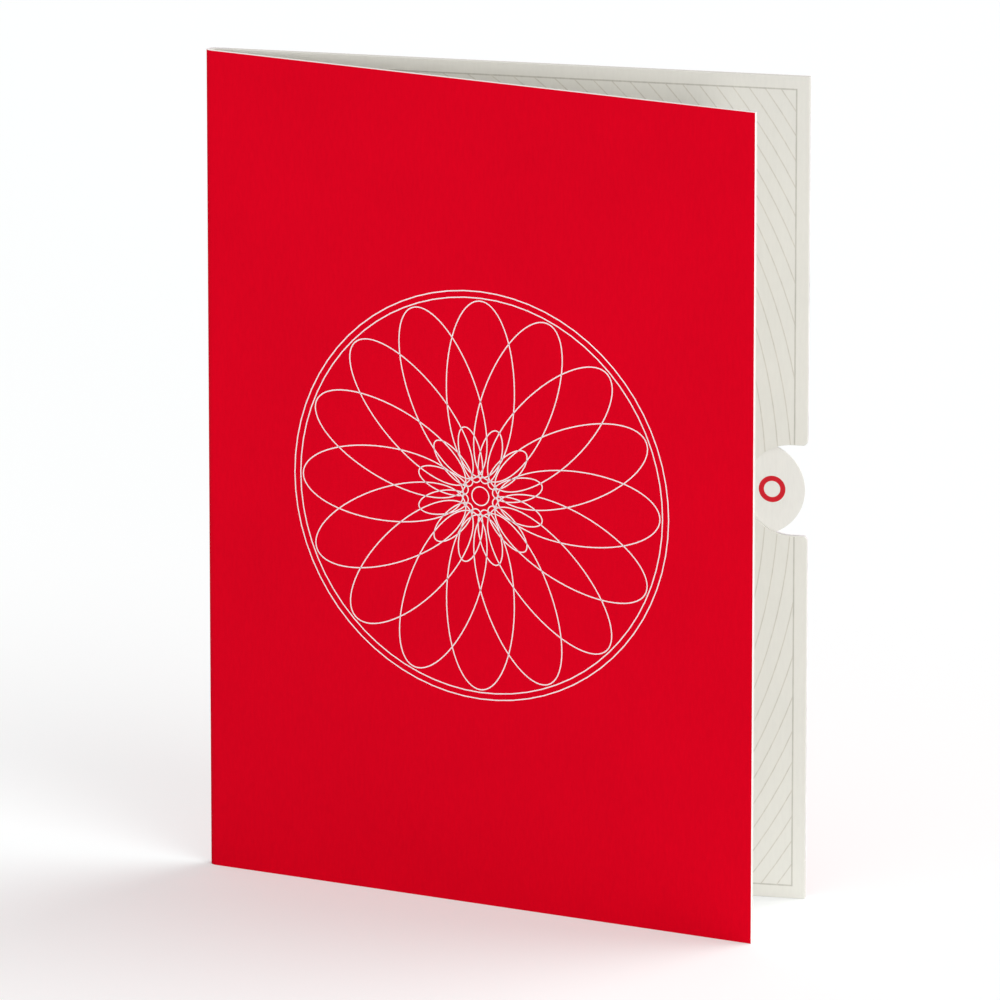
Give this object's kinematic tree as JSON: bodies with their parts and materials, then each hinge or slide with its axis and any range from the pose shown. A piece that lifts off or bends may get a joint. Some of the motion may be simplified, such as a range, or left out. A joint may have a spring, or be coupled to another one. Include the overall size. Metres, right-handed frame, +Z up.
{
  "type": "folded pop-up greeting card",
  "caption": "Folded greeting card standing ajar, with a pop-up tiered flower inside that unfolds with the cover and a note that slides out of a pocket in the back panel.",
  "frame": {"origin": "bottom centre of the card's box as it stands ajar, on the surface it stands on", "axes": "+Z up, parallel to the fold; +X from the fold to the back panel's fore-edge; +Y out of the back cover"},
  "size_m": [0.1288, 0.0364, 0.1778],
  "materials": {
    "cover_red": "satin printed card",
    "liner_cream": "matte",
    "spacer_grey": "matte",
    "note_white": "matte",
    "popup_red": "matte",
    "popup_blush": "matte"
  },
  "bodies": {
    "back": {"back_cover": "cover_red", "cover_crease": "cover_red", "back_liner": "liner_cream", "liner_crease": "liner_cream", "pocket_spacer": "spacer_grey", "back_foot_tabs": "popup_blush"},
    "front": {"front_cover": "cover_red", "front_liner": "liner_cream", "front_foot_tabs": "popup_blush"},
    "note": {"note_card": "note_white"},
    "centre": {"centre_plate": "popup_blush"},
    "back_ring_1": {"back_ring_1": "popup_red"},
    "back_strut_1": {"back_strut_1": "popup_blush"},
    "front_ring_1": {"front_ring_1": "popup_red"},
    "front_strut_1": {"front_strut_1": "popup_blush"},
    "back_ring_2": {"back_ring_2": "popup_blush"},
    "back_strut_2": {"back_strut_2": "popup_blush"},
    "front_ring_2": {"front_ring_2": "popup_blush"},
    "front_strut_2": {"front_strut_2": "popup_blush"},
    "back_ring_3": {"back_ring_3": "popup_red"},
    "back_strut_3": {"back_strut_3": "popup_blush"},
    "front_ring_3": {"front_ring_3": "popup_red"},
    "front_strut_3": {"front_strut_3": "popup_blush"},
    "back_ring_4": {"back_ring_4": "popup_blush"},
    "back_strut_4": {"back_strut_4": "popup_blush"},
    "front_ring_4": {"front_ring_4": "popup_blush"},
    "front_strut_4": {"front_strut_4": "popup_blush"}
  },
  "joints": [
    {"name": "cover_fold", "type": "hinge", "parent": "back", "child": "front", "pos_m": [-0.06263, 0.01606, 0], "axis": [0, 0, -1], "range_deg": [-8, 165], "deforming": ["cover_crease", "liner_crease"]},
    {"name": "note_slide", "type": "slide", "parent": "back", "child": "note", "axis": [1, 0, 0], "range_m": [0, 0.1]},
    {"name": "centre_turn", "type": "hinge", "parent": "back", "child": "centre", "pos_m": [-0.06263, 0.01606, 0], "axis": [0, 0, -1], "range_deg": [-4, 82.5]},
    {"name": "back_ring_1_turn", "type": "hinge", "parent": "centre", "child": "back_ring_1", "pos_m": [-0.04674, 0.01417, 0], "axis": [0, 0, -1], "range_deg": [-82.5, 4]},
    {"name": "back_strut_1_turn", "type": "hinge", "parent": "back", "child": "back_strut_1", "pos_m": [-0.01763, 0.01641, 0], "axis": [0, 0, -1], "range_deg": [-4, 82.5]},
    {"name": "front_ring_1_turn", "type": "hinge", "parent": "centre", "child": "front_ring_1", "pos_m": [-0.04679, 0.01377, 0], "axis": [0, 0, -1], "range_deg": [-4, 82.5]},
    {"name": "front_strut_1_turn", "type": "hinge", "parent": "front", "child": "front_strut_1", "pos_m": [-0.01925, 0.00408, 0], "axis": [0, 0, -1], "range_deg": [-82.5, 4]},
    {"name": "back_ring_2_turn", "type": "hinge", "parent": "centre", "child": "back_ring_2", "pos_m": [-0.03088, 0.01208, 0], "axis": [0, 0, -1], "range_deg": [-82.5, 4]},
    {"name": "back_strut_2_turn", "type": "hinge", "parent": "back", "child": "back_strut_2", "pos_m": [-0.03063, 0.01641, 0], "axis": [0, 0, -1], "range_deg": [-4, 82.5]},
    {"name": "front_ring_2_turn", "type": "hinge", "parent": "centre", "child": "front_ring_2", "pos_m": [-0.03093, 0.01169, 0], "axis": [0, 0, -1], "range_deg": [-4, 82.5]},
    {"name": "front_strut_2_turn", "type": "hinge", "parent": "front", "child": "front_strut_2", "pos_m": [-0.03181, 0.00744, 0], "axis": [0, 0, -1], "range_deg": [-82.5, 4]},
    {"name": "back_ring_3_turn", "type": "hinge", "parent": "centre", "child": "back_ring_3", "pos_m": [-0.01501, 0.00999, 0], "axis": [0, 0, -1], "range_deg": [-82.5, 4]},
    {"name": "back_strut_3_turn", "type": "hinge", "parent": "back", "child": "back_strut_3", "pos_m": [-0.04363, 0.01641, 0], "axis": [0, 0, -1], "range_deg": [-4, 82.5]},
    {"name": "front_ring_3_turn", "type": "hinge", "parent": "centre", "child": "front_ring_3", "pos_m": [-0.01506, 0.0096, 0], "axis": [0, 0, -1], "range_deg": [-4, 82.5]},
    {"name": "front_strut_3_turn", "type": "hinge", "parent": "front", "child": "front_strut_3", "pos_m": [-0.04437, 0.01081, 0], "axis": [0, 0, -1], "range_deg": [-82.5, 4]},
    {"name": "back_ring_4_turn", "type": "hinge", "parent": "centre", "child": "back_ring_4", "pos_m": [0.00085, 0.00791, 0], "axis": [0, 0, -1], "range_deg": [-82.5, 4]},
    {"name": "back_strut_4_turn", "type": "hinge", "parent": "back", "child": "back_strut_4", "pos_m": [-0.05663, 0.01641, 0], "axis": [0, 0, -1], "range_deg": [-4, 82.5]},
    {"name": "front_ring_4_turn", "type": "hinge", "parent": "centre", "child": "front_ring_4", "pos_m": [0.0008, 0.00751, 0], "axis": [0, 0, -1], "range_deg": [-4, 82.5]},
    {"name": "front_strut_4_turn", "type": "hinge", "parent": "front", "child": "front_strut_4", "pos_m": [-0.05692, 0.01417, 0], "axis": [0, 0, -1], "range_deg": [-82.5, 4]}
  ],
  "couplings": [
    {"joint": "centre_turn", "follows": "cover_fold", "ratio": 0.5},
    {"joint": "back_ring_1_turn", "follows": "cover_fold", "ratio": -0.5},
    {"joint": "back_strut_1_turn", "follows": "cover_fold", "ratio": 0.5},
    {"joint": "front_ring_1_turn", "follows": "cover_fold", "ratio": 0.5},
    {"joint": "front_strut_1_turn", "follows": "cover_fold", "ratio": -0.5},
    {"joint": "back_ring_2_turn", "follows": "cover_fold", "ratio": -0.5},
    {"joint": "back_strut_2_turn", "follows": "cover_fold", "ratio": 0.5},
    {"joint": "front_ring_2_turn", "follows": "cover_fold", "ratio": 0.5},
    {"joint": "front_strut_2_turn", "follows": "cover_fold", "ratio": -0.5},
    {"joint": "back_ring_3_turn", "follows": "cover_fold", "ratio": -0.5},
    {"joint": "back_strut_3_turn", "follows": "cover_fold", "ratio": 0.5},
    {"joint": "front_ring_3_turn", "follows": "cover_fold", "ratio": 0.5},
    {"joint": "front_strut_3_turn", "follows": "cover_fold", "ratio": -0.5},
    {"joint": "back_ring_4_turn", "follows": "cover_fold", "ratio": -0.5},
    {"joint": "back_strut_4_turn", "follows": "cover_fold", "ratio": 0.5},
    {"joint": "front_ring_4_turn", "follows": "cover_fold", "ratio": 0.5},
    {"joint": "front_strut_4_turn", "follows": "cover_fold", "ratio": -0.5}
  ]
}
